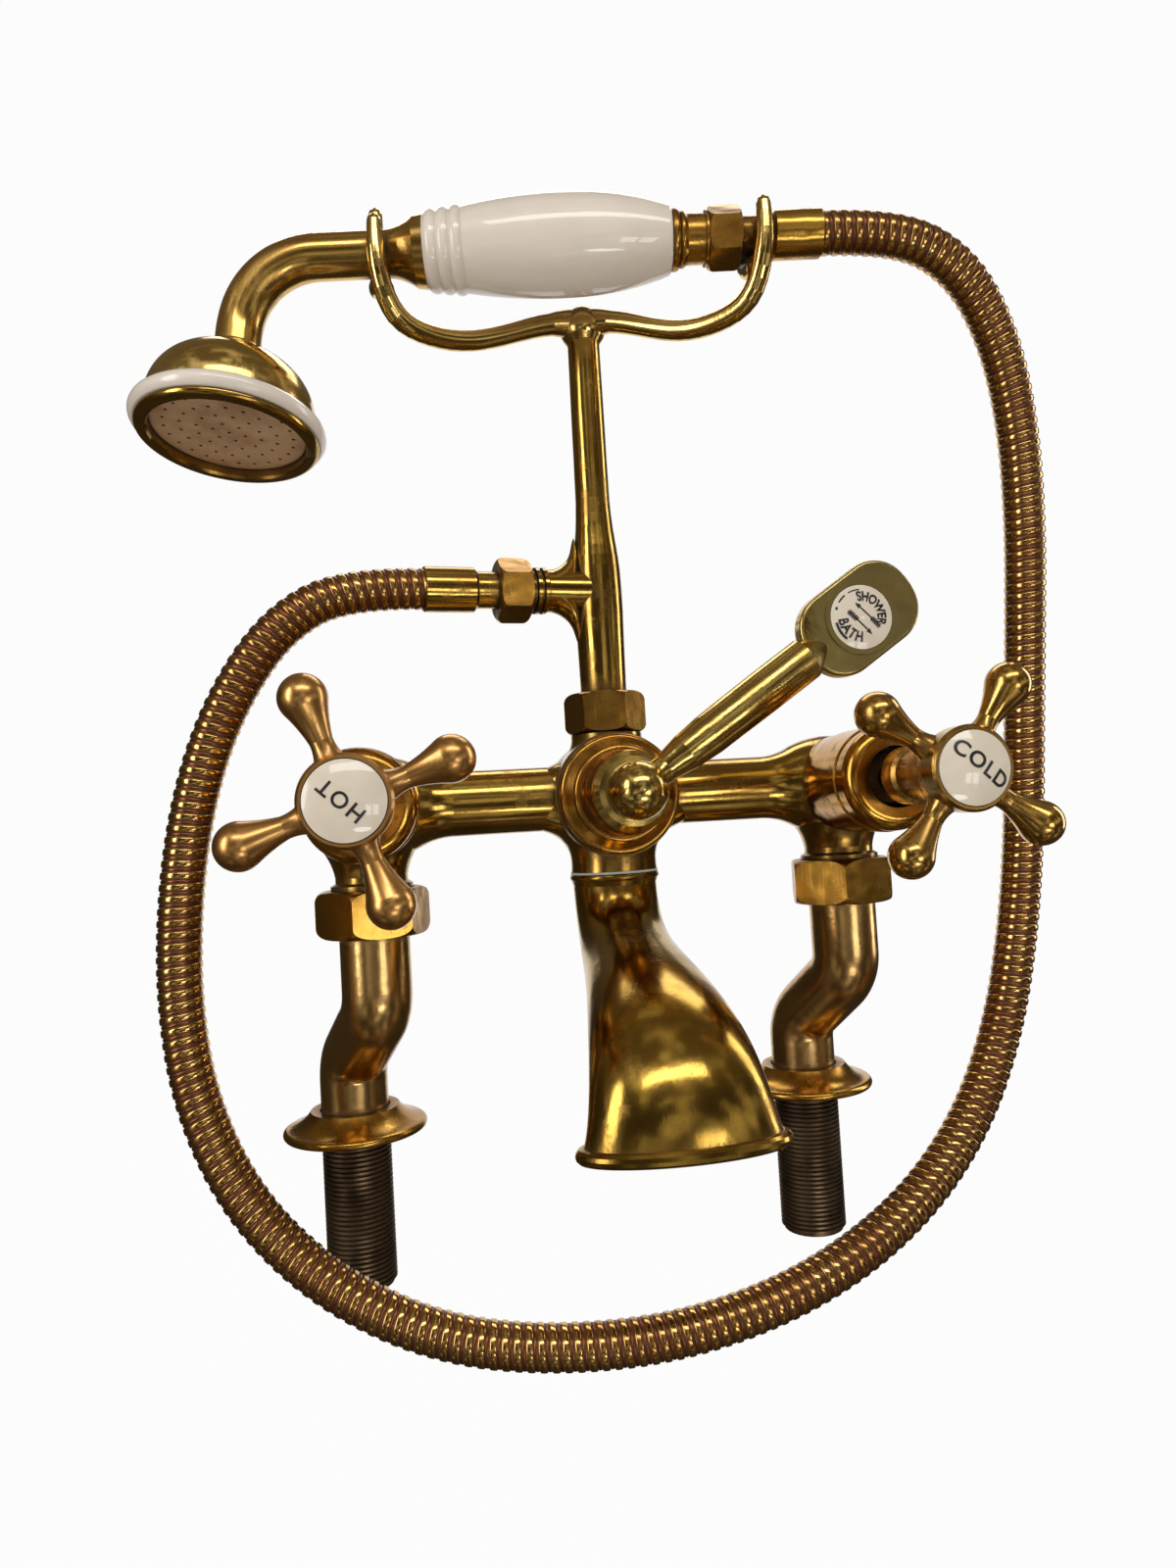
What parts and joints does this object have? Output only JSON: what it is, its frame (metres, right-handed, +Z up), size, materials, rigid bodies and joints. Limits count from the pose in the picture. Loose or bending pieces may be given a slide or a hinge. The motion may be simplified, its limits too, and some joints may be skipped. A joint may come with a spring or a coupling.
{
  "type": "pillar-mounted bath mixer with handset",
  "caption": "Traditional two-handle bath mixer on cranked pillar unions, with a diverter lever, spout, riser, cradle, porcelain-gripped handset and ribbed hose.",
  "frame": {"origin": "midway between the axes of the hot and cold deck tails, on the plane where the flanges meet the deck", "axes": "+Z up along the tails and the riser, -Y forwards over the bath, +X from hot to cold"},
  "size_m": [0.3417, 0.1616, 0.4234],
  "materials": {
    "body_brass": "polished, slightly aged",
    "handle_bronze": "polished, warm and orange",
    "lever_brass": "polished, pale and greenish",
    "inner_brass": "machined",
    "dark_brass": "tarnished dark brown",
    "porcelain": "glossy ivory glaze",
    "spray_plate": "dull tan",
    "black_rubber": "matt",
    "pale_seal": "pale blue-white",
    "hose_brass": "banded, polished"
  },
  "bodies": {
    "mixer": {"mixer_body": "body_brass", "hot_headwork": "body_brass", "cold_headwork": "body_brass", "hot_flange": "body_brass", "cold_flange": "body_brass", "riser_column": "body_brass", "spout": "body_brass", "cradle": "body_brass", "hose_outlet_ferrule": "body_brass", "hot_union_nut": "body_brass", "cold_union_nut": "body_brass", "riser_nut": "body_brass", "hose_outlet_nut": "body_brass", "diverter_bonnet": "body_brass", "hot_gland_nut": "inner_brass", "cold_gland_nut": "inner_brass", "diverter_gland": "inner_brass", "hot_cranked_union": "dark_brass", "cold_cranked_union": "dark_brass", "hot_union_washer": "black_rubber", "cold_union_washer": "black_rubber", "riser_washer": "black_rubber", "hose_outlet_washer": "black_rubber", "spout_seal": "pale_seal", "hose": "hose_brass"},
    "hot_cross": {"hot_handle": "handle_bronze", "hot_index": "porcelain", "hot_handle_screw": "inner_brass", "hot_spindle": "inner_brass"},
    "cold_cross": {"cold_handle": "handle_bronze", "cold_index": "porcelain", "cold_handle_screw": "inner_brass", "cold_spindle": "inner_brass"},
    "hot_valve": {"hot_jumper": "inner_brass", "hot_jumper_washer": "black_rubber"},
    "cold_valve": {"cold_jumper": "inner_brass", "cold_jumper_washer": "black_rubber"},
    "lever": {"diverter_lever": "lever_brass", "diverter_index": "porcelain", "diverter_spindle": "inner_brass"},
    "shuttle": {"diverter_shuttle": "inner_brass", "shuttle_washers": "black_rubber"},
    "handset": {"handset_neck": "handle_bronze", "rose_bell": "body_brass", "rose_ring": "porcelain", "rose_rim": "body_brass", "rose_plate": "spray_plate", "porcelain_grip": "porcelain", "grip_tube": "inner_brass", "handset_connector": "body_brass", "handset_nut": "body_brass", "handset_washer": "black_rubber", "handset_ferrule": "body_brass"}
  },
  "joints": [
    {"name": "hot_turn", "type": "hinge", "parent": "mixer", "child": "hot_cross", "pos_m": [-0.08047, -0.02361, 0.125], "axis": [0, -1, 0], "range_deg": [0, 720]},
    {"name": "cold_turn", "type": "hinge", "parent": "mixer", "child": "cold_cross", "pos_m": [0.10453, -0.02361, 0.125], "axis": [0, -1, 0], "range_deg": [0, 720]},
    {"name": "hot_valve_slide", "type": "slide", "parent": "mixer", "child": "hot_valve", "axis": [0, -1, 0], "range_m": [0, 0.0051]},
    {"name": "cold_valve_slide", "type": "slide", "parent": "mixer", "child": "cold_valve", "axis": [0, -1, 0], "range_m": [0, 0.0051]},
    {"name": "diverter_turn", "type": "hinge", "parent": "mixer", "child": "lever", "pos_m": [0.01203, -0.02361, 0.125], "axis": [0, -1, 0], "range_deg": [0, 100]},
    {"name": "shuttle_slide", "type": "slide", "parent": "mixer", "child": "shuttle", "axis": [0, 0, -1], "range_m": [0, 0.0081]},
    {"name": "handset_lift", "type": "slide", "parent": "mixer", "child": "handset", "axis": [0, 0, 1], "range_m": [0, 0.06]}
  ],
  "couplings": [
    {"joint": "hot_valve_slide", "follows": "hot_turn", "m_per_rad": 0.000398},
    {"joint": "cold_valve_slide", "follows": "cold_turn", "m_per_rad": 0.000398},
    {"joint": "shuttle_slide", "follows": "diverter_turn", "m_per_rad": 0.004584}
  ]
}
